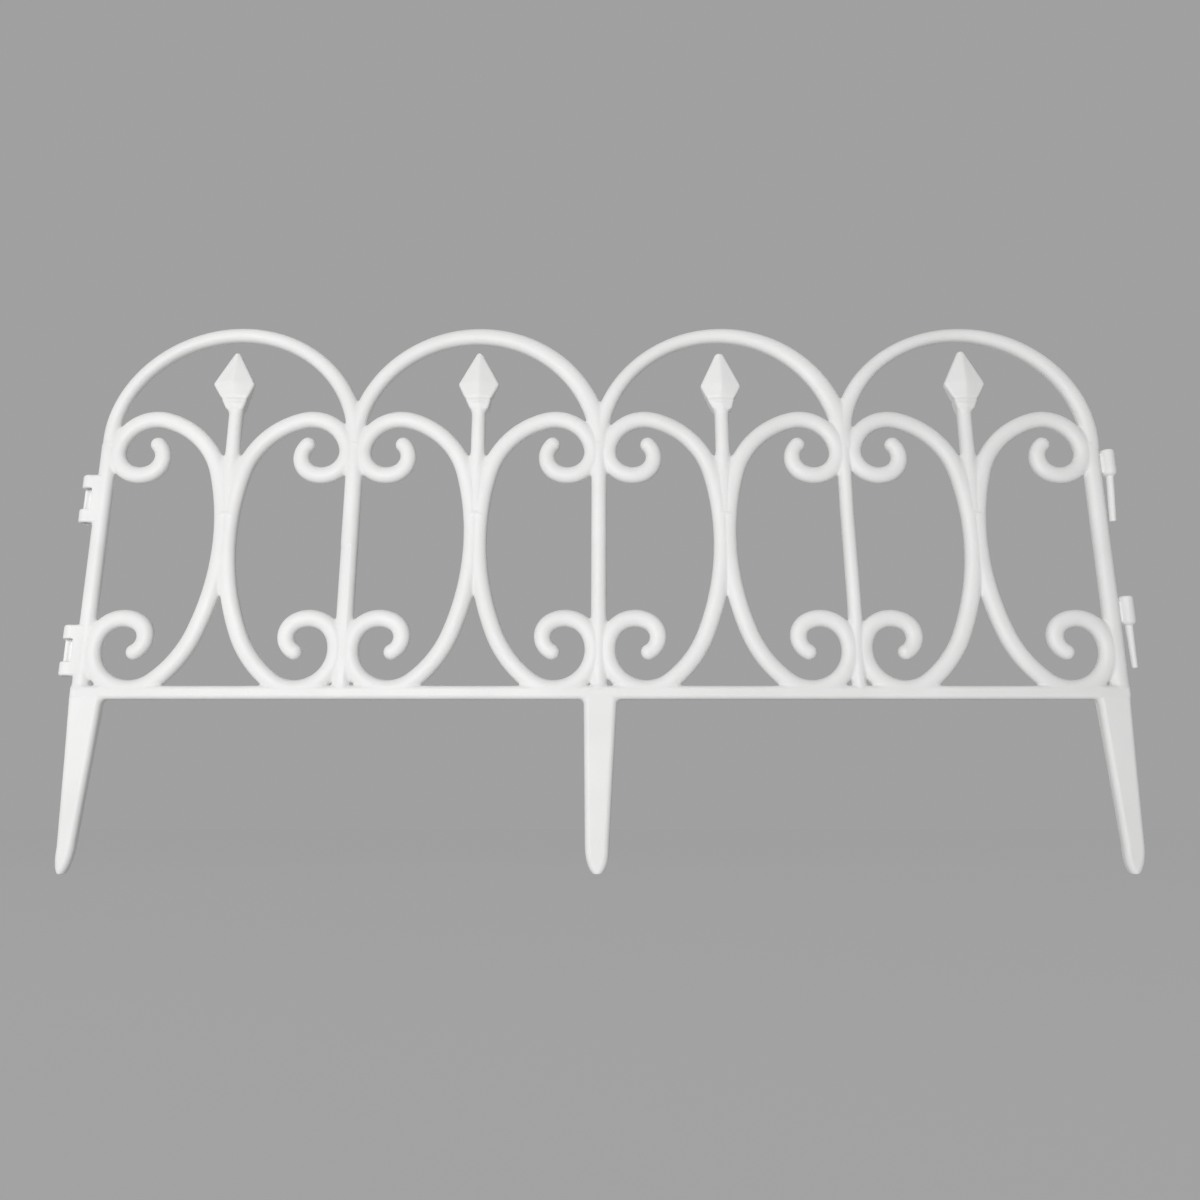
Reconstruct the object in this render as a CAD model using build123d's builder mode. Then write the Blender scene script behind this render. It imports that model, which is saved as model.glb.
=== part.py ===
from build123d import *
import os

os.makedirs("parts", exist_ok=True)

# Layout of the panel, mm: x along the panel, y through it, z up from the stake tips
bay_pitch = 144.0
bay_count = 4
stake_length = 93.0
post_height = 141.0

# Bars
bar_width = 10.0
bar_depth = 8.0
bar_round = 3.6
rail_height = 7.6
rail_round = 1.6

# Scrolls: one C-scroll's centreline, from its post's centreline and the rail's underside
scroll_start_x = 28.0
scroll_start_z = 150.6
scroll_start_angle = 43.4
scroll_radii = (10.8, 14.5, 22.0, 46.4, 151.5, 63.6, 22.1, 15.5, 9.8)
scroll_turns = (110.7, 127.9, 92.6, 60.1, 36.8, 30.8, 149.8, 98.7, 122.3)

# Spears: the rod's foot is measured from the rail's underside, the head's tip from the arch over it
rod_width = 8.4
rod_foot = 112.0
head_gap = 6.9
neck_width = 10.4
collar_height = 6.4
collar_width = 13.0
collar_depth = 9.6
collar_round = 2.4
head_foot_depth = 9.0
head_width = 23.2
head_depth = 10.4
head_tip_width = 1.8
head_tip_depth = 3.6
head_flare_height = 10.0
head_point_height = 19.8

# Stakes
stake_thickness = 7.6
stake_edge = 1.2
stake_flare = 2.4
stake_shoulder = 14.0
stake_tip_bulge = 3.5
foot_width = 4.0
end_stake_width = 17.6
end_stake_outer_taper = 2.6
end_stake_inner_taper = 4.8
middle_stake_left = 8.2
middle_stake_right = 9.0
middle_stake_left_taper = 1.0
middle_stake_right_taper = 4.2

# Hinge sockets on the left end, hinge pins on the right end
upper_seat_drop = 17.6
lower_seat_height = 42.0
pin_radius = 2.1
pin_clearance = 0.25
pin_length = 28.5
pin_tip = 0.7
pin_offset = 9.8
barrel_radius = 4.2
barrel_height = 15.5
barrel_edge = 0.8
web_thickness = 3.0
web_height = 12.0
socket_height = 29.0
socket_offset = 9.0
socket_wall = 2.0
window_height = 13.0
window_reach = 2.8

# Heights and places that follow from the sizes above
rail_underside = stake_length
rail_top = rail_underside + rail_height
springing = rail_top + post_height
arch_radius = bay_pitch / 2
post_xs = [bay_pitch * (i - bay_count / 2) for i in range(bay_count + 1)]
bay_xs = [x + bay_pitch / 2 for x in post_xs[:-1]]
end_face = post_xs[-1] + bar_width / 2
bore_radius = pin_radius + pin_clearance
hinge_seats = {"upper": rail_height + post_height - upper_seat_drop, "lower": lower_seat_height}
head_tip = rail_height + post_height + arch_radius - bar_width / 2 - head_gap
head_waist = head_tip - head_point_height
collar_top = head_waist - head_flare_height
neck_height = collar_top - collar_height
depth_axis = (0, 1, 0)


def level(height):
    return Plane.XY.offset(rail_underside + height)


def straight_bar(x, foot, top, width):
    with BuildPart() as bar:
        with BuildSketch(Plane.XY.offset(foot)):
            with Locations((x, 0)):
                RectangleRounded(width, bar_depth, bar_round)
        extrude(amount=top - foot)
    return bar.part


def arch_bar(centre_x):
    with BuildPart() as bar:
        with BuildSketch(Plane.XY.offset(springing)):
            with Locations((centre_x - arch_radius, 0)):
                RectangleRounded(bar_width, bar_depth, bar_round)
        revolve(axis=Axis((centre_x, 0, springing), depth_axis), revolution_arc=180)
    return bar.part


def hook_end(point, tangent):
    # Half of the bar's section, turned about its centreline to round the bar's end
    with BuildPart() as knob:
        with BuildSketch(Plane(origin=point, x_dir=depth_axis, z_dir=tangent)):
            RectangleRounded(bar_depth, bar_width, bar_round)
            with Locations((0, bar_width / 2)):
                Rectangle(2 * bar_depth, bar_width, mode=Mode.SUBTRACT)
        revolve(axis=Axis(point, depth_axis), revolution_arc=360)
    return knob.part


def scroll_bar(post_x, side):
    # Side is 1 where the scroll lies to the right of its post, -1 where it lies to the left
    with BuildPart() as bar:
        with BuildLine(Plane.XZ) as path:
            start = Vector(post_x + side * scroll_start_x, 0, rail_underside + scroll_start_z)
            heading = Vector(side, 0, 0).rotate(Axis.Y, side * scroll_start_angle)
            for radius, turn in zip(scroll_radii, scroll_turns):
                arc = JernArc(start, heading, radius, -side * turn)
                start = arc @ 1
                heading = arc % 1
        with BuildSketch(Plane(origin=path.line @ 0, x_dir=depth_axis, z_dir=path.line % 0)):
            RectangleRounded(bar_depth, bar_width, bar_round)
        sweep()
        add(hook_end(path.line @ 0, path.line % 0))
        add(hook_end(path.line @ 1, path.line % 1))
    return bar.part


def beyond(x, side):
    # A block that fills the bay next to the plane at x, on the side named
    inner_edge = Align.MIN if side > 0 else Align.MAX
    with BuildPart() as block:
        with Locations((x, 0, 0)):
            Box(bay_pitch, bay_pitch, 2 * springing, align=(inner_edge, Align.CENTER, Align.MIN))
    return block.part


def diamond(x, size):
    # A rhombus with its corners to the left, right, front and back of the point at x
    width, depth = size
    with Locations((x, 0)):
        Polygon((width / 2, 0), (0, depth / 2), (-width / 2, 0), (0, -depth / 2))


def stake_blade(left, right, left_taper, right_taper, flares):
    # A flat blade below the rail that tapers to a shoulder and then rounds off to a small flat foot
    left_shoulder = left + left_taper
    right_shoulder = right - right_taper
    foot_x = (left_shoulder + right_shoulder) / 2
    left_flare, right_flare = flares
    left_foot = (foot_x - foot_width / 2, 0)
    right_foot = (foot_x + foot_width / 2, 0)
    upper_outline = (
        (right_shoulder, stake_shoulder),
        (right, rail_underside - stake_flare),
        (right + right_flare, rail_underside),
        (left - left_flare, rail_underside),
        (left, rail_underside - stake_flare),
        (left_shoulder, stake_shoulder),
    )
    with BuildPart() as blade:
        with BuildSketch(Plane.XZ):
            with BuildLine():
                Polyline(*upper_outline)
                Bezier(upper_outline[-1], (left_shoulder, stake_tip_bulge), left_foot)
                Line(left_foot, right_foot)
                Bezier(right_foot, (right_shoulder, stake_tip_bulge), upper_outline[0])
            make_face()
        extrude(amount=stake_thickness / 2, both=True)
        rims = blade.edges().filter_by(Axis.Y, reverse=True)
        chamfer(rims.filter_by(lambda rim: rim.center().Z < rail_underside), stake_edge)
    return blade.part


rail_end = (-end_face, 0, rail_underside + rail_height / 2)
with BuildPart() as bottom_rail:
    with BuildSketch(Plane(origin=rail_end, x_dir=depth_axis, z_dir=(1, 0, 0))):
        RectangleRounded(bar_depth, rail_height, rail_round)
    extrude(amount=2 * end_face)
bottom_rail.part.label = "bottom_rail"
export_step(bottom_rail.part, "parts/bottom_rail.step")

# Posts between the rail and the arches
post_names = ["left_end_post"]
post_names += ["divider_post_" + str(i) for i in range(1, bay_count)]
post_names += ["right_end_post"]
posts = []
for name, x in zip(post_names, post_xs):
    with BuildPart() as post:
        add(straight_bar(x, rail_top, springing, bar_width))
    post.part.label = name
    export_step(post.part, "parts/" + name + ".step")
    posts.append(post.part)

# Arches: neighbours meet on the plane through the middle of the post that they share
arches = []
for i, x in enumerate(bay_xs):
    with BuildPart() as arch:
        add(arch_bar(x))
        if i > 0:
            add(beyond(x - arch_radius, -1), mode=Mode.SUBTRACT)
        if i < bay_count - 1:
            add(beyond(x + arch_radius, 1), mode=Mode.SUBTRACT)
    arch.part.label = "arch_" + str(i + 1)
    export_step(arch.part, "parts/" + arch.part.label + ".step")
    arches.append(arch.part)

# Spears: a rod with its foot between the scrolls, and a four-sided head over a collar
rods = []
for i, x in enumerate(bay_xs):
    with BuildPart() as spear_rod:
        add(straight_bar(x, rail_underside + rod_foot, rail_underside + neck_height, rod_width))
    spear_rod.part.label = "spear_rod_" + str(i + 1)
    export_step(spear_rod.part, "parts/" + spear_rod.part.label + ".step")
    rods.append(spear_rod.part)

head_sizes = (
    (collar_top, (collar_width, head_foot_depth)),
    (head_waist, (head_width, head_depth)),
    (head_tip, (head_tip_width, head_tip_depth)),
)
for i, x in enumerate(bay_xs):
    with BuildPart() as spear_head:
        with BuildSketch(level(neck_height)):
            with Locations((x, 0)):
                RectangleRounded(neck_width, bar_depth, collar_round)
        with BuildSketch(level(collar_top)):
            with Locations((x, 0)):
                RectangleRounded(collar_width, collar_depth, collar_round)
        loft()
        for lower, upper in zip(head_sizes, head_sizes[1:]):
            for height, size in (lower, upper):
                with BuildSketch(level(height)):
                    diamond(x, size)
            loft()
    spear_head.part.label = "spear_head_" + str(i + 1)
    export_step(spear_head.part, "parts/" + spear_head.part.label + ".step")

# Scrolls: trimmed to the rail, the post, the arch and the rod, and kept in their half of the bay
for i, x in enumerate(bay_xs):
    for post_index, side, word in ((i, 1, "left"), (i + 1, -1, "right")):
        with BuildPart() as scroll:
            add(scroll_bar(post_xs[post_index], side))
            for neighbour in (bottom_rail.part, posts[post_index], arches[i], rods[i]):
                add(neighbour, mode=Mode.SUBTRACT)
            add(beyond(post_xs[post_index], -side), mode=Mode.SUBTRACT)
            add(beyond(x, side), mode=Mode.SUBTRACT)
        scroll.part.label = "scroll_" + str(i + 1) + "_" + word
        export_step(scroll.part, "parts/" + scroll.part.label + ".step")

# Stakes under both end posts and the middle of the rail
with BuildPart() as left_stake:
    add(
        stake_blade(
            -end_face,
            -end_face + end_stake_width,
            end_stake_outer_taper,
            end_stake_inner_taper,
            (0, stake_flare),
        )
    )
left_stake.part.label = "left_stake"
export_step(left_stake.part, "parts/left_stake.step")

with BuildPart() as right_stake:
    add(mirror(left_stake.part, about=Plane.YZ))
right_stake.part.label = "right_stake"
export_step(right_stake.part, "parts/right_stake.step")

with BuildPart() as middle_stake:
    add(
        stake_blade(
            -middle_stake_left,
            middle_stake_right,
            middle_stake_left_taper,
            middle_stake_right_taper,
            (stake_flare, stake_flare),
        )
    )
middle_stake.part.label = "middle_stake"
export_step(middle_stake.part, "parts/middle_stake.step")

# Hinge sockets: a bored lug beside the left end post, with the front half of its middle left open
socket_x = post_xs[0] - socket_offset
socket_radius = bore_radius + socket_wall
for word, seat in hinge_seats.items():
    with BuildPart() as hinge_socket:
        with BuildSketch(level(seat - socket_height)):
            with Locations((socket_x, 0)):
                Circle(socket_radius)
                Rectangle(socket_offset, 2 * socket_radius, align=(Align.MIN, Align.CENTER))
        extrude(amount=socket_height)
        add(posts[0], mode=Mode.SUBTRACT)
        with BuildSketch(level(seat - socket_height)):
            with Locations((socket_x, 0)):
                Circle(bore_radius)
        extrude(amount=socket_height, mode=Mode.SUBTRACT)
        with BuildSketch(Plane.XZ):
            with Locations((socket_x + window_reach, rail_underside + seat - socket_height / 2)):
                Rectangle(2 * socket_radius, window_height, align=(Align.MAX, Align.CENTER))
        extrude(amount=socket_radius, mode=Mode.SUBTRACT)
    hinge_socket.part.label = word + "_hinge_socket"
    export_step(hinge_socket.part, "parts/" + hinge_socket.part.label + ".step")

# Hinge pins: a barrel held off the right end post by a web, with the pin hanging from it
pin_x = post_xs[-1] + pin_offset
for word, seat in hinge_seats.items():
    with BuildPart() as hinge_pin:
        with BuildSketch(level(seat)):
            with Locations((pin_x, 0)):
                Circle(barrel_radius)
        extrude(amount=barrel_height)
        chamfer(hinge_pin.edges().filter_by(GeomType.CIRCLE), barrel_edge)
        with BuildSketch(level(seat - pin_length)):
            with Locations((pin_x, 0)):
                Circle(pin_radius)
        extrude(amount=pin_length + barrel_edge)
        chamfer(hinge_pin.edges().filter_by(GeomType.CIRCLE).sort_by(Axis.Z)[0], pin_tip)
        with BuildSketch(level(seat + (barrel_height - web_height) / 2)):
            with Locations((pin_x, 0)):
                Rectangle(pin_offset, web_thickness, align=(Align.MAX, Align.CENTER))
        extrude(amount=web_height)
        add(posts[-1], mode=Mode.SUBTRACT)
    hinge_pin.part.label = word + "_hinge_pin"
    export_step(hinge_pin.part, "parts/" + hinge_pin.part.label + ".step")
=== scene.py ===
import math

import bpy
import numpy as np
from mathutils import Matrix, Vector


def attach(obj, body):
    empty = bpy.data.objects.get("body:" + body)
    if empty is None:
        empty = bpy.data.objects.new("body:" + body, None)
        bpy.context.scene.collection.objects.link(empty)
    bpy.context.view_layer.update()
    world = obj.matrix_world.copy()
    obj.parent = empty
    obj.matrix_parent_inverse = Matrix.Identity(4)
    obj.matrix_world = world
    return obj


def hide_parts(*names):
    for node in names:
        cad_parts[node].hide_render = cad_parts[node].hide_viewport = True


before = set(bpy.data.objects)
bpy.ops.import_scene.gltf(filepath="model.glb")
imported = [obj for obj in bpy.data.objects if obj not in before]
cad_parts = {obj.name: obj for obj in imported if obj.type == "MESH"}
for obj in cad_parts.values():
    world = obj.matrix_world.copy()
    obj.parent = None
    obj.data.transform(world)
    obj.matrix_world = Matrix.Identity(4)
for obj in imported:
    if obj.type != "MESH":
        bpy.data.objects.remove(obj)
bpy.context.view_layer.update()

# Lengths are millimetres down to the materials: x along the panel, y through it, z up from the stake tips.
MM = 0.001

# Every bar has an oval section, squarer than an ellipse by its power, and is joined with a small fillet.
HALF_W = 5.0
HALF_D = 4.0
OVAL = 2.15
OVAL_CORE = 0.02
BLEND = 1.8

# Rail
RAIL = 93.0
RAIL_TOP = 100.6
RAIL_END = 293.0
RAIL_EDGE = 2.4

# Posts: middle line, shift to the side low down and high up, half the width
POSTS = {
    "left_end_post": (-288.0, -0.5, -0.5, 4.6),
    "divider_post_1": (-144.0, -0.2, 0.0, 5.0),
    "divider_post_2": (0.0, -0.8, -0.7, 4.5),
    "divider_post_3": (144.0, -0.1, -1.0, 3.95),
    "right_end_post": (288.0, 0.5, 0.1, 4.9),
}
POST_FOOT = RAIL + 1.5
POST_ROOM = 6
SHIFT_LEVELS = (150, 205)
# The mould's parting leaves a small step in the left flank of one post, below this level
STEPPED_POST = "divider_post_1"
STEP_LEVEL = 181.5
STEP_REACH = 1.5
STEP = 0.22

# Arches: degrees from the right foot, outward shift of the bar, half its width
SPRING = 241.6
PITCH = 144.0
BAYS = [-216.0, -72.0, 72.0, 216.0]
ARCHES = [
    [(0, -0.2, 5.0), (30, 0.4, 4.9), (50, 1.2, 4.7), (70, 0.7, 4.5), (90, 0.1, 4.4),
     (110, 0.7, 4.4), (130, 1.6, 4.2), (150, 1.2, 4.2), (180, 0.0, 4.6)],
    [(0, 0.0, 5.2), (30, -0.4, 5.7), (50, -0.5, 5.7), (70, -0.35, 5.35), (90, -0.3, 5.0),
     (110, 0.25, 4.9), (130, 0.6, 4.8), (150, 0.9, 4.6), (180, 0.2, 4.7)],
    [(0, 0.0, 5.2), (30, -0.3, 5.8), (50, 0.1, 5.6), (70, 0.3, 5.0), (90, 0.3, 4.6),
     (110, 0.35, 4.3), (130, 0.45, 4.3), (150, 0.6, 4.5), (180, 0.2, 4.8)],
    [(0, 0.7, 4.9), (30, 1.6, 4.9), (50, 1.8, 4.9), (70, 1.0, 4.5), (90, 0.4, 4.1),
     (110, 1.0, 4.1), (130, 1.9, 4.3), (150, 1.9, 4.7), (180, 0.4, 4.9)],
]
POST_TOP = SPRING + 1
ARCH_POWERS = 5
ARCH_ROOM = 8.5

# One scroll's centreline as tangent arcs of a radius and a turn in degrees, from the upper hook to the lower.
# Its start is given from the post's middle line and the rail's underside, with its heading in degrees.
SCROLL_START = (28.0, 150.6, -43.4)
SCROLL_ARCS = [
    (10.8, 110.7),
    (14.5, 127.9),
    (22.0, 92.6),
    (46.4, 60.1),
    (151.5, 36.8),
    (63.6, 30.8),
    (22.1, 149.8),
    (15.5, 98.7),
    (9.8, 122.3),
]
SCROLL_TOP = RAIL + 172
PAST_MIDDLE = 3
# The scroll's bar is a little thinner at the hooks' ends, over this share of its length
HOOK_THINNER = 0.5
HOOK_SHARE = 0.03

# Spear rods
ROD_FOOT = RAIL + 108
ROD_TOP = RAIL + 174
ROD_HALF = 4.2
ROD_ROOM = 5
ROD_BLEND = 3.2

# Spear heads, five rows from the collar's foot to the tip: height over the rail's underside, shift to the
# side, half width, half depth at the ridge and half depth at the edge
HEADS = [
    [(172.5, -0.4, 5.2, 4.5, 3.6), (178.9, -1.1, 7.7, 4.8, 3.4), (188.3, -2.5, 12.1, 5.1, 1.9),
     (189.3, -2.6, 12.2, 5.1, 1.9), (209.2, -2.2, 1.5, 2.7, 1.6)],
    [(172.5, 0.3, 5.4, 4.5, 3.6), (178.9, -0.4, 7.7, 4.8, 3.4), (188.2, -0.45, 12.0, 5.1, 1.9),
     (189.2, -0.45, 12.0, 5.1, 1.9), (209.2, -0.5, 1.5, 2.7, 1.6)],
    [(172.5, 0.3, 5.7, 4.5, 3.6), (178.9, -0.5, 8.2, 4.8, 3.4), (187.0, -0.2, 11.8, 5.1, 1.9),
     (188.4, -0.2, 11.8, 5.1, 1.9), (208.8, -0.5, 2.2, 2.7, 1.6)],
    [(172.5, 0.5, 5.0, 4.5, 3.6), (178.9, 1.0, 7.0, 4.8, 3.4), (188.7, 1.5, 12.0, 5.1, 1.9),
     (189.7, 1.5, 12.0, 5.1, 1.9), (210.3, 1.0, 1.8, 2.7, 1.6)],
]
HEAD_ROOM = (16, 5.2)
RIDGE_SOFTNESS = 0.8
LOWER_FLANK_COS = 0.9
UPPER_FLANK_COS = 0.88
HEAD_EDGE = 1.1
HEAD_END = 0.9
HEAD_BLEND = 3.4
GROOVE_RISE = 0.4
GROOVE_HALF = 0.7
GROOVE_DEPTH = 0.5

# Stakes: left and right flank at the rail, how far each leans in down to the tip, and the tip's bend
STAKES = {
    "left_stake": (-293.1, -275.1, 3.1, 5.3, -1.2),
    "middle_stake": (-9.2, 9.3, 0.9, 4.5, 0.3),
    "right_stake": (274.8, 292.7, 4.4, 2.1, -0.9),
}
STAKE_HEAD = RAIL_TOP - 2
SHOULDER = RAIL - 2.4
TIP_LEVEL = 14.0
TIP_ROUND = 0.94
TIP_SLOPE = 0.6
STAKE_EDGE = 3.0
STAKE_BLEND = 3.0
THINNING_LEVELS = (60, 90)
STAKE_HALF_D = 3.6

# Hinges: seat over the rail's underside and the socket's radius beside its window, then of the pin's part
# the barrel's height, and the pin's lean, length and end radius
HINGES = {
    "upper": (131, 4.0, 16.2, -1.5, 27.9, 1.9),
    "lower": (42, 4.25, 16.8, 0.3, 24.6, 1.6),
}
LUG_END = 290
SOCKET_X = -297.0
SOCKET_HEIGHT = 29
SOCKET_RADIUS = 4.35
SOCKET_EDGE = 1.4
SOCKET_BLEND = 0.7
BORE_RADIUS = 2.35
WAIST_HALF = 6.5
WINDOW_HALF = 6.3
WINDOW_DEPTH = 0.9
WINDOW_REACH = 2.6
WINDOW_EDGE = 0.6
PIN_X = 298.0
PIN_RADIUS = 2.1
PIN_DROP = 28.5
PIN_ROOT = 1
PIN_EDGE = 0.9
PIN_BLEND = 0.7
BARREL_RADIUS = 3.98
BARREL_EDGE = 1.2
BARREL_WAIST = 0.9
BARREL_WAIST_HEIGHT = 3.2
BARREL_ROOM = 4.2
WEB_LEVELS = (1.75, 13.75)
WEB_HALF = 1.2
WEB_EDGE = 0.6
FINE_BLEND = 0.3

# Grid that the skins are drawn from, a little larger than the panel
GRID_LOW = (-304, -7.2, -2)
GRID_HIGH = (306, 7.2, 322)
CELL = 0.66
ROOM_CELLS = 3
FAR = 50.0
TINY = 1e-6
CORNERS = [(a, b, c) for a in (0, 1) for b in (0, 1) for c in (0, 1)]
SETTLING_STEPS = 3
LARGEST_STEP = 0.4
LEAST_SLOPE = 0.05


class Field:
    """The moulding's signed distance on a grid, with the member that each point lies nearest to."""

    def __init__(self, low, high, cell):
        self.low = np.array(low, float)
        self.cell = cell
        self.shape = tuple(int(math.ceil((b - a) / cell)) + 1 for a, b in zip(low, high))
        self.value = np.full(self.shape, FAR, np.float32)
        self.near = np.full(self.shape, FAR, np.float32)
        self.owner = np.zeros(self.shape, np.int16)
        self.names = []

    def window(self, low, high):
        """The part of the grid between two corners, as slices, and its lines along each axis."""
        a = np.floor((np.array(low) - self.low) / self.cell).astype(int)
        b = np.ceil((np.array(high) - self.low) / self.cell).astype(int) + 1
        a = np.maximum(a, 0)
        b = np.minimum(b, self.shape)
        axes = [self.low[i] + self.cell * np.arange(a[i], b[i]) for i in range(3)]
        return tuple(slice(p, q) for p, q in zip(a, b)), axes

    def add(self, name, low, high, measure, blend):
        """Joins a member, given by measure(x, y, z), with a fillet where its faces turn away from others."""
        room = blend + ROOM_CELLS * self.cell
        cut, (x, y, z) = self.window([v - room for v in low], [v + room for v in high])
        d = measure(x[:, None, None], y[None, :, None], z[None, None, :]).astype(np.float32)
        d = np.broadcast_to(d, self.value[cut].shape)
        old = self.value[cut]
        g, f = np.gradient(old), np.gradient(d)
        size = np.sqrt(sum(a * a for a in g) * sum(b * b for b in f))
        turn = np.clip(1 - sum(a * b for a, b in zip(g, f)) / np.maximum(size, TINY), 0, 1)
        fillet = turn * np.maximum(blend - np.abs(old - d), 0) ** 2 / (4 * blend)
        self.value[cut] = np.minimum(old, d) - fillet
        if name not in self.names:
            self.names.append(name)
        closer = d < self.near[cut]
        self.near[cut] = np.where(closer, d, self.near[cut])
        self.owner[cut] = np.where(closer, self.names.index(name), self.owner[cut])


# Forms that the members are made of

def between(level, low, high):
    return np.maximum(low - level, level - high)


def upright(px, py, x, radius):
    return np.hypot(px - x, py) - radius


def soft_max(a, b, radius):
    """Where both are inside, with the edge between them rounded."""
    u = np.maximum(radius + a, 0)
    v = np.maximum(radius + b, 0)
    return np.minimum(np.maximum(a, b), -radius) + np.hypot(u, v)


def section(side, y, half_depth, radius):
    """A blade's rounded section: side is how far the point lies outside the blade's flank."""
    a = side + radius
    b = np.abs(y) - (half_depth - radius)
    return np.hypot(np.maximum(a, 0), np.maximum(b, 0)) + np.minimum(np.maximum(a, b), 0) - radius


def bar(across, y, half_width=HALF_W):
    """A bar's oval section: across is the distance from the bar's middle line over its half width."""
    a = np.maximum(across, OVAL_CORE)
    b = np.maximum(np.abs(y) / HALF_D, OVAL_CORE)
    k = (a ** OVAL + b ** OVAL) ** (1 / OVAL)
    steep = np.hypot(a ** (OVAL - 1) / half_width, b ** (OVAL - 1) / HALF_D) * k ** (1 - OVAL)
    return (k - 1) / steep


def rounded_box(px, py, pz, low, high, radius):
    q = [between(p, a, b) + radius for p, a, b in zip((px, py, pz), low, high)]
    out = np.sqrt(sum(np.maximum(v, 0) ** 2 for v in q))
    return out + np.minimum(np.maximum(np.maximum(q[0], q[1]), q[2]), 0) - radius


def add_posts(field):
    for name, (x, low_shift, high_shift, half) in POSTS.items():
        step = STEP if name == STEPPED_POST else 0

        def post(px, py, pz, x=x, shifts=(low_shift, high_shift), half=half, step=step):
            middle = x + np.interp(pz, SHIFT_LEVELS, shifts)
            below_step = (pz < STEP_LEVEL) & (px < middle + STEP_REACH)
            d = bar(np.abs(px - middle) / half, py, half) + step * below_step
            return np.maximum(d, between(pz, POST_FOOT, POST_TOP))

        low, high = (x - POST_ROOM, -HALF_D, POST_FOOT), (x + POST_ROOM, HALF_D, POST_TOP)
        field.add(name, low, high, post, BLEND)


def add_arches(field):
    reach = PITCH / 2 + ARCH_ROOM
    for i, (x, rows) in enumerate(zip(BAYS, ARCHES)):
        turns, shifts, halves = np.array(rows).T
        shift_curve = np.polyfit(turns / 90 - 1, shifts, ARCH_POWERS)
        half_curve = np.polyfit(turns / 90 - 1, halves, ARCH_POWERS)

        def arch(px, py, pz, x=x, shift_curve=shift_curve, half_curve=half_curve):
            turn = np.arctan2(pz - SPRING, px - x)
            turn = np.where(turn < -math.pi / 2, math.pi, np.maximum(turn, 0))
            level = turn / (math.pi / 2) - 1
            run = PITCH / 2 + np.polyval(shift_curve, level)
            half = np.polyval(half_curve, level)
            dist = np.hypot(px - x - run * np.cos(turn), pz - SPRING - run * np.sin(turn))
            return bar(dist / half, py, half)

        low, high = (x - reach, -HALF_D, SPRING - HALF_W), (x + reach, HALF_D, SPRING + reach)
        field.add(f"arch_{i + 1}", low, high, arch, BLEND)


def scroll_arcs(post_x, side):
    """A scroll's arcs: centre, radius, middle angle, half turn, and the shares of its length at both ends."""
    x, z, heading = SCROLL_START
    arcs = []
    run = 0.0
    total = sum(r * math.radians(t) for r, t in SCROLL_ARCS)
    for radius, turn in SCROLL_ARCS:
        h = math.radians(heading)
        cx = x + radius * math.sin(h)
        cz = z - radius * math.cos(h)
        a0 = math.atan2(z - cz, x - cx)
        a1 = a0 - math.radians(turn)
        x = cx + radius * math.cos(a1)
        z = cz + radius * math.sin(a1)
        heading -= turn
        s0 = run / total
        run += radius * math.radians(turn)
        s1 = run / total
        middle, half = (a0 + a1) / 2, (a0 - a1) / 2
        if side > 0:
            arcs.append((post_x + cx, RAIL + cz, radius, middle, half, s1, s0))
        else:
            arcs.append((post_x - cx, RAIL + cz, radius, math.pi - middle, half, s0, s1))
    return arcs


def scroll_width(s):
    """Half the bar's width at a share of the scroll's length."""
    thinner = np.exp(-(s / HOOK_SHARE) ** 2) + np.exp(-((1 - s) / HOOK_SHARE) ** 2)
    return HALF_W - HOOK_THINNER * thinner


def arc_across(x, z, arc):
    """The distance from an arc over the bar's half width there."""
    cx, cz, radius, middle, half, s0, s1 = arc
    angle = np.arctan2(z - cz, x - cx)
    off = np.clip((angle - middle + math.pi) % (2 * math.pi) - math.pi, -half, half)
    dist = np.hypot(x - cx - radius * np.cos(middle + off), z - cz - radius * np.sin(middle + off))
    along = s0 + (s1 - s0) * (off / half * 0.5 + 0.5)
    return dist / scroll_width(along)


def add_scrolls(field):
    for i, x in enumerate(BAYS):
        for side, word in ((1, "left"), (-1, "right")):
            post_x = x - side * PITCH / 2
            arcs = scroll_arcs(post_x, side)

            def scroll(px, py, pz, arcs=arcs):
                return bar(np.minimum.reduce([arc_across(px, pz, arc) for arc in arcs]), py)

            left, right = sorted((post_x - side, x + side * PAST_MIDDLE))
            low, high = (left, -HALF_D, RAIL), (right, HALF_D, SCROLL_TOP)
            field.add(f"scroll_{i + 1}_{word}", low, high, scroll, BLEND)


def add_rods(field):
    for i, x in enumerate(BAYS):

        def rod(px, py, pz, x=x):
            d = bar(np.abs(px - x) / ROD_HALF, py, ROD_HALF)
            return np.maximum(d, between(pz, ROD_FOOT, ROD_TOP))

        low, high = (x - ROD_ROOM, -HALF_D, ROD_FOOT), (x + ROD_ROOM, HALF_D, ROD_TOP)
        field.add(f"spear_rod_{i + 1}", low, high, rod, ROD_BLEND)


def add_rail(field):
    low, high = (-RAIL_END, -HALF_D, RAIL), (RAIL_END, HALF_D, RAIL_TOP)

    def rail(px, py, pz):
        return rounded_box(px, py, pz, low, high, RAIL_EDGE)

    field.add("bottom_rail", low, high, rail, BLEND)


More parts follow.
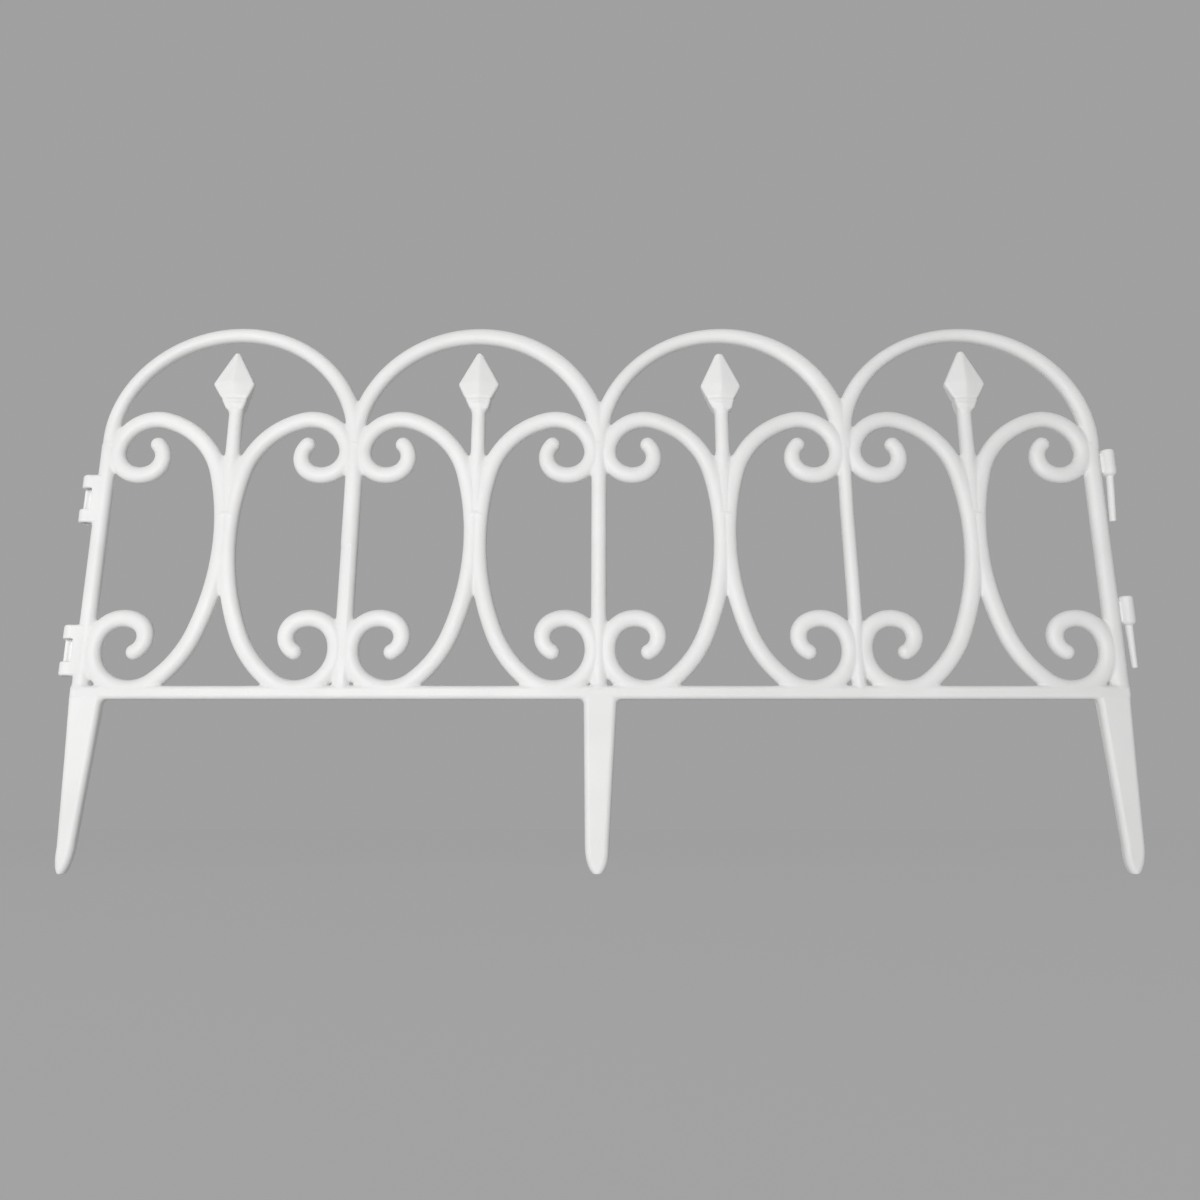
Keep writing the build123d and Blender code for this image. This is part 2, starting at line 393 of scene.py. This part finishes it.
def add_heads(field):
    for i, (x, rows) in enumerate(zip(BAYS, HEADS)):
        heights, *columns = zip(*rows)
        foot, collar_top, _, widest, tip = (RAIL + height for height in heights)
        groove_level = collar_top + GROOVE_RISE
        levels = (foot, groove_level, widest, tip)

        def head(px, py, pz, x=x, heights=heights, columns=columns, levels=levels):
            foot, groove_level, widest, tip = levels
            shift, half, ridge, edge = (np.interp(pz - RAIL, heights, column) for column in columns)
            u = px - x - shift
            slope = (ridge - edge) / half
            across = np.sqrt(u * u + RIDGE_SOFTNESS)
            face = (np.abs(py) - edge - slope * (half - across)) / np.sqrt(1 + slope * slope)
            flank = (np.abs(u) - half) * np.where(pz > widest, UPPER_FLANK_COS, LOWER_FLANK_COS)
            groove = GROOVE_DEPTH * np.exp(-(((pz - groove_level) / GROOVE_HALF) ** 2))
            d = soft_max(face, flank, HEAD_EDGE) + groove
            return soft_max(d, between(pz, foot, tip), HEAD_END)

        room, depth = HEAD_ROOM
        field.add(f"spear_head_{i + 1}", (x - room, -depth, foot), (x + room, depth, tip), head, HEAD_BLEND)


def add_stakes(field):
    for name, (left, right, lean_left, lean_right, bend) in STAKES.items():

        def blade(px, py, pz, left=left, right=right, lean_left=lean_left, lean_right=lean_right, bend=bend):
            taper = np.clip((SHOULDER - pz) / (SHOULDER - TIP_LEVEL), 0, 1)
            tip = np.clip((TIP_LEVEL - pz) / TIP_LEVEL, 0, 1)
            half_tip = (right - lean_right - left - lean_left) / 2
            shrink = half_tip * (1 - np.sqrt(1 - (tip * TIP_ROUND) ** 2))
            level_left = left + lean_left * taper + shrink
            level_right = right - lean_right * taper - shrink
            flank = between(px - bend * tip, level_left, level_right)
            half_depth = np.interp(pz, THINNING_LEVELS, (STAKE_HALF_D, HALF_D))
            d = section(flank / np.sqrt(1 + (tip * TIP_SLOPE) ** 2), py, half_depth, STAKE_EDGE)
            return np.maximum(d, between(pz, 0, STAKE_HEAD))

        low, high = (left - 1, -HALF_D, 0), (right + 1, HALF_D, STAKE_HEAD)
        field.add(name, low, high, blade, STAKE_BLEND)


def add_socket(field, name, seat, waist):
    x, foot, middle = SOCKET_X, seat - SOCKET_HEIGHT, seat - SOCKET_HEIGHT / 2

    def socket(px, py, pz):
        radius = np.where(np.abs(pz - middle) > WAIST_HALF, SOCKET_RADIUS, waist)
        ring = upright(px, py, x, radius)
        block = np.maximum(between(px, x, -LUG_END), np.abs(py) - np.minimum(radius, HALF_D))
        d = soft_max(np.minimum(ring, block), between(pz, foot, seat), SOCKET_EDGE)
        opening = np.maximum(py - WINDOW_DEPTH, np.abs(pz - middle) - WINDOW_HALF)
        opening = np.maximum(px - x - WINDOW_REACH, opening)
        d = soft_max(d, -opening, WINDOW_EDGE)
        return np.maximum(d, -upright(px, py, x, BORE_RADIUS))

    low, high = (x - SOCKET_RADIUS, -SOCKET_RADIUS, foot), (-LUG_END, SOCKET_RADIUS, seat)
    field.add(name, low, high, socket, SOCKET_BLEND)


def add_pin(field, name, seat, height, lean, length, end_radius):
    x = PIN_X
    web_foot, web_top = (seat + v for v in WEB_LEVELS)

    def barrel(px, py, pz):
        narrow = np.clip((seat + BARREL_WAIST_HEIGHT - pz) / BARREL_WAIST_HEIGHT, 0, 1)
        ring = upright(px, py, x, BARREL_RADIUS - BARREL_WAIST * narrow ** 2)
        return soft_max(ring, between(pz, seat, seat + height), BARREL_EDGE)

    def pin(px, py, pz):
        t = np.clip((seat - pz) / length, 0, 1)
        shaft = upright(px, py, x + lean * t, PIN_RADIUS + (end_radius - PIN_RADIUS) * t)
        return soft_max(shaft, between(pz, seat - length, seat + PIN_ROOT), PIN_EDGE)

    def web(px, py, pz):
        d = np.maximum(between(px, LUG_END, x), np.abs(py) - WEB_HALF)
        return soft_max(d, between(pz, web_foot, web_top), WEB_EDGE)

    left, right = x - BARREL_ROOM, x + BARREL_ROOM
    low, high = (left, -BARREL_ROOM, seat), (right, BARREL_ROOM, seat + height)
    field.add(name, low, high, barrel, FINE_BLEND)
    low, high = (left, -PIN_RADIUS, seat - PIN_DROP), (right, PIN_RADIUS, seat + PIN_ROOT)
    field.add(name, low, high, pin, PIN_BLEND)
    field.add(name, (LUG_END, -WEB_HALF, web_foot), (x, WEB_HALF, web_top), web, FINE_BLEND)


def add_hinges(field):
    for word, (rise, waist, *pin_sizes) in HINGES.items():
        seat = RAIL + rise
        add_socket(field, f"{word}_hinge_socket", seat, waist)
        add_pin(field, f"{word}_hinge_pin", seat, *pin_sizes)


# Skins, drawn from the grid

def sample(grid, p):
    """The grid's value at each point, run straight between its neighbours."""
    i = np.clip(np.floor(p).astype(int), 0, np.array(grid.shape) - 2)
    f = p - i
    out = 0
    for corner in CORNERS:
        weight = np.prod(np.where(corner, f, 1 - f), axis=1)
        out = out + weight * grid[tuple((i + corner).T)]
    return out


def gradient(grid, p):
    return np.stack([sample(grid, p + e) - sample(grid, p - e) for e in np.eye(3) * 0.5], 1)


def net_points(v, cells):
    """One point in each cell that the surface crosses, moved onto the surface."""
    vals = np.stack([v[tuple((cells + corner).T)] for corner in CORNERS], 1)
    points = np.zeros((len(cells), 3))
    count = np.zeros(len(cells))
    for m, p in enumerate(CORNERS):
        for n, q in enumerate(CORNERS):
            if m < n and sum(abs(s - t) for s, t in zip(p, q)) == 1:
                va, vb = vals[:, m], vals[:, n]
                cross = (va < 0) != (vb < 0)
                t = np.where(cross, va / np.where(cross, va - vb, 1), 0)
                at = np.array(p) + t[:, None] * (np.array(q) - np.array(p))
                points += at * cross[:, None]
                count += cross
    points = cells + points / count[:, None]
    for _ in range(SETTLING_STEPS):
        g = gradient(v, points)
        step = sample(v, points) / np.maximum((g ** 2).sum(1), LEAST_SLOPE)
        points -= np.clip(step, -LARGEST_STEP, LARGEST_STEP)[:, None] * g
    return points


def net_quads(inside, ids):
    """The faces between the points of four cells around each grid edge that the surface cuts."""
    quads = []
    for axis in range(3):
        u, w = (axis + 1) % 3, (axis + 2) % 3
        first = [slice(None)] * 3
        second = [slice(None)] * 3
        first[axis], second[axis] = slice(0, -1), slice(1, None)
        a, b = inside[tuple(first)], inside[tuple(second)]
        edge = np.argwhere(a != b)
        off_low = (edge[:, u] > 0) & (edge[:, w] > 0)
        off_high = (edge[:, u] < ids.shape[u]) & (edge[:, w] < ids.shape[w])
        edge = edge[off_low & off_high]
        leaving = a[tuple(edge.T)]
        ring = []
        for du, dw in ((1, 1), (0, 1), (0, 0), (1, 0)):
            c = edge.copy()
            c[:, u] -= du
            c[:, w] -= dw
            ring.append(ids[tuple(c.T)])
        ring = np.stack(ring, 1)
        ring[~leaving] = ring[~leaving][:, ::-1]
        quads.append(ring)
    return np.concatenate(quads)


def surface(field):
    """Points, normals, quads and each quad's member."""
    v = field.value
    inside = v < 0
    total = np.zeros(tuple(n - 1 for n in v.shape), np.int8)
    for corner in CORNERS:
        total += inside[tuple(slice(k, k + n - 1) for k, n in zip(corner, v.shape))]
    cells = np.argwhere((total > 0) & (total < len(CORNERS)))
    ids = np.full(total.shape, -1, np.int64)
    ids[tuple(cells.T)] = np.arange(len(cells))
    points = net_points(v, cells)
    normal = gradient(v, points)
    normal /= np.maximum(np.linalg.norm(normal, axis=1), TINY)[:, None]
    quads = net_quads(inside, ids)
    near = np.clip(np.rint(points[quads].mean(1)).astype(int), 0, np.array(v.shape) - 1)
    owner = field.owner[tuple(near.T)]
    return field.low + field.cell * points, normal, quads, owner


def link(ob):
    bpy.context.scene.collection.objects.link(ob)


def build_skins(field):
    points, normals, quads, owner = surface(field)
    built = {}
    for index, name in enumerate(field.names):
        used, faces = np.unique(quads[owner == index], return_inverse=True)
        me = bpy.data.meshes.new(name + "_skin")
        me.from_pydata((points[used] * MM).tolist(), [], faces.reshape(-1, 4).tolist())
        me.shade_smooth()
        me.normals_split_custom_set_from_vertices(normals[used].tolist())
        ob = bpy.data.objects.new(name + "_skin", me)
        link(ob)
        built[name] = ob
    return built


field = Field(GRID_LOW, GRID_HIGH, CELL)
add_posts(field)
add_arches(field)
add_scrolls(field)
add_rods(field)
add_rail(field)
add_heads(field)
add_stakes(field)
add_hinges(field)
skins = build_skins(field)


# Materials; from here on lengths are metres

def put(node, values):
    for socket, value in values.items():
        node.inputs[socket].default_value = value


def white_plastic():
    """Satin white plastic with a faint uneven tint, slight waves of the moulding and a fine grain."""
    m = bpy.data.materials.new("white_plastic")
    m.use_nodes = True
    nodes, links = m.node_tree.nodes, m.node_tree.links
    shader = nodes["Principled BSDF"]
    put(shader, {"IOR": 1.45, "Specular IOR Level": 0.4})
    put(shader, {"Subsurface Weight": 0.12, "Subsurface Radius": (1.0, 0.9, 0.8), "Subsurface Scale": 0.0025})
    coord = nodes.new("ShaderNodeTexCoord")

    def noise(scale, detail):
        n = nodes.new("ShaderNodeTexNoise")
        put(n, {"Scale": scale, "Detail": detail})
        links.new(coord.outputs["Object"], n.inputs["Vector"])
        return n.outputs["Fac"]

    def bump(height, strength, distance):
        n = nodes.new("ShaderNodeBump")
        put(n, {"Strength": strength, "Distance": distance})
        links.new(height, n.inputs["Height"])
        return n

    tint = nodes.new("ShaderNodeValToRGB")
    low, high = tint.color_ramp.elements
    low.position, low.color = 0.3, (0.83, 0.828, 0.822, 1)
    high.position, high.color = 0.7, (0.9, 0.898, 0.892, 1)
    links.new(noise(18, 3), tint.inputs["Fac"])
    links.new(tint.outputs["Color"], shader.inputs["Base Color"])
    gloss = nodes.new("ShaderNodeMapRange")
    put(gloss, {"To Min": 0.4, "To Max": 0.56})
    links.new(noise(60, 4), gloss.inputs["Value"])
    links.new(gloss.outputs["Result"], shader.inputs["Roughness"])
    wave = bump(noise(90, 2), 0.35, 0.0006)
    grain = bump(noise(1800, 2), 0.12, 0.0001)
    links.new(wave.outputs["Normal"], grain.inputs["Normal"])
    links.new(grain.outputs["Normal"], shader.inputs["Normal"])
    return m


plastic = white_plastic()
for name, skin in skins.items():
    skin.data.materials.append(plastic)
    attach(skin, "root")
    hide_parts(name)


# Camera: low and close, tilted up

TILT = math.radians(13.3)
DISTANCE = 0.544
AIM = Vector((0, -0.0025, 0.1485))
cam = bpy.data.cameras.new("camera")
cam.sensor_width = 36
cam.lens = 28.92
cam.shift_x = -0.0002
cam.shift_y = 0.001
cam.clip_start = 0.01
cam_ob = bpy.data.objects.new("camera", cam)
link(cam_ob)
look = Vector((0, math.cos(TILT), math.sin(TILT)))
cam_ob.location = AIM - look * DISTANCE
cam_ob.rotation_euler = look.to_track_quat("-Z", "Y").to_euler()
bpy.context.scene.camera = cam_ob


# Floor, as grey as the backdrop and just below the stakes' tips

GREY = 0.352
FLOOR_GLOW = 0.323
FLOOR_TINT = 0.07
FLOOR_LEVEL = -0.0005
FLOOR_SIDE, FLOOR_FRONT, FLOOR_BACK = 30, -30, 60


def studio_floor():
    me = bpy.data.meshes.new("floor")
    left, right = -FLOOR_SIDE, FLOOR_SIDE
    ring = [(left, FLOOR_FRONT, 0), (right, FLOOR_FRONT, 0), (right, FLOOR_BACK, 0), (left, FLOOR_BACK, 0)]
    me.from_pydata(ring, [], [(0, 1, 2, 3)])
    m = bpy.data.materials.new("studio_floor")
    m.use_nodes = True
    shader = m.node_tree.nodes["Principled BSDF"]
    put(shader, {"Base Color": (FLOOR_TINT, FLOOR_TINT, FLOOR_TINT, 1)})
    put(shader, {"Emission Color": (FLOOR_GLOW, FLOOR_GLOW, FLOOR_GLOW, 1), "Emission Strength": 1.0})
    put(shader, {"Roughness": 1.0, "Specular IOR Level": 0.0})
    me.materials.append(m)
    ob = bpy.data.objects.new("floor", me)
    ob.location.z = FLOOR_LEVEL
    link(ob)
    return ob


floor = studio_floor()


# World and lights

def studio_world():
    """An even grey backdrop, with the room in front of it brighter on the left than on the right."""
    world = bpy.data.worlds.new("world")
    world.use_nodes = True
    nodes, links = world.node_tree.nodes, world.node_tree.links
    coord = nodes.new("ShaderNodeTexCoord")
    split = nodes.new("ShaderNodeSeparateXYZ")
    links.new(coord.outputs["Generated"], split.inputs["Vector"])
    side = nodes.new("ShaderNodeMapRange")
    put(side, {"From Min": -1, "From Max": 0.8, "To Min": 0.08, "To Max": 0.02})
    links.new(split.outputs["X"], side.inputs["Value"])
    front = nodes.new("ShaderNodeMapRange")
    put(front, {"From Min": -0.25, "From Max": 0.05})
    links.new(split.outputs["Y"], front.inputs["Value"])
    mix = nodes.new("ShaderNodeMix")
    mix.inputs["B"].default_value = GREY
    links.new(front.outputs["Result"], mix.inputs["Factor"])
    links.new(side.outputs["Result"], mix.inputs["A"])
    links.new(mix.outputs["Result"], nodes["Background"].inputs["Strength"])
    put(nodes["Background"], {"Color": (1, 1, 1, 1)})
    return world


def aim(ob, loc, target):
    ob.location = loc
    ob.rotation_euler = (Vector(target) - Vector(loc)).to_track_quat("-Z", "Y").to_euler()
    link(ob)


def soft_sun(name, strength, azimuth, elevation, spread, gleams):
    """A wide far light; gleams says whether it also shows as a highlight on the plastic."""
    lamp = bpy.data.lights.new(name, "SUN")
    lamp.energy = strength
    lamp.angle = math.radians(spread)
    a, e = math.radians(azimuth), math.radians(elevation)
    away = Vector((math.sin(a) * math.cos(e), -math.cos(a) * math.cos(e), math.sin(e)))
    ob = bpy.data.objects.new(name, lamp)
    ob.visible_glossy = gleams
    aim(ob, away * 3, (0, 0, 0))


def softbox(name, loc, target, size, power):
    """A round near light."""
    lamp = bpy.data.lights.new(name, "AREA")
    lamp.shape = "DISK"
    lamp.size = size
    lamp.energy = power
    aim(bpy.data.objects.new(name, lamp), loc, target)


bpy.context.scene.world = studio_world()
bpy.context.scene.view_settings.view_transform = "Standard"
soft_sun("key", 0.79, -8, 12, 36, True)
soft_sun("back_fill", 1.2, 180, 10, 40, False)
softbox("near_light", (-0.36, -1.15, 0.17), (-0.05, 0, 0.13), 0.5, 8.8)
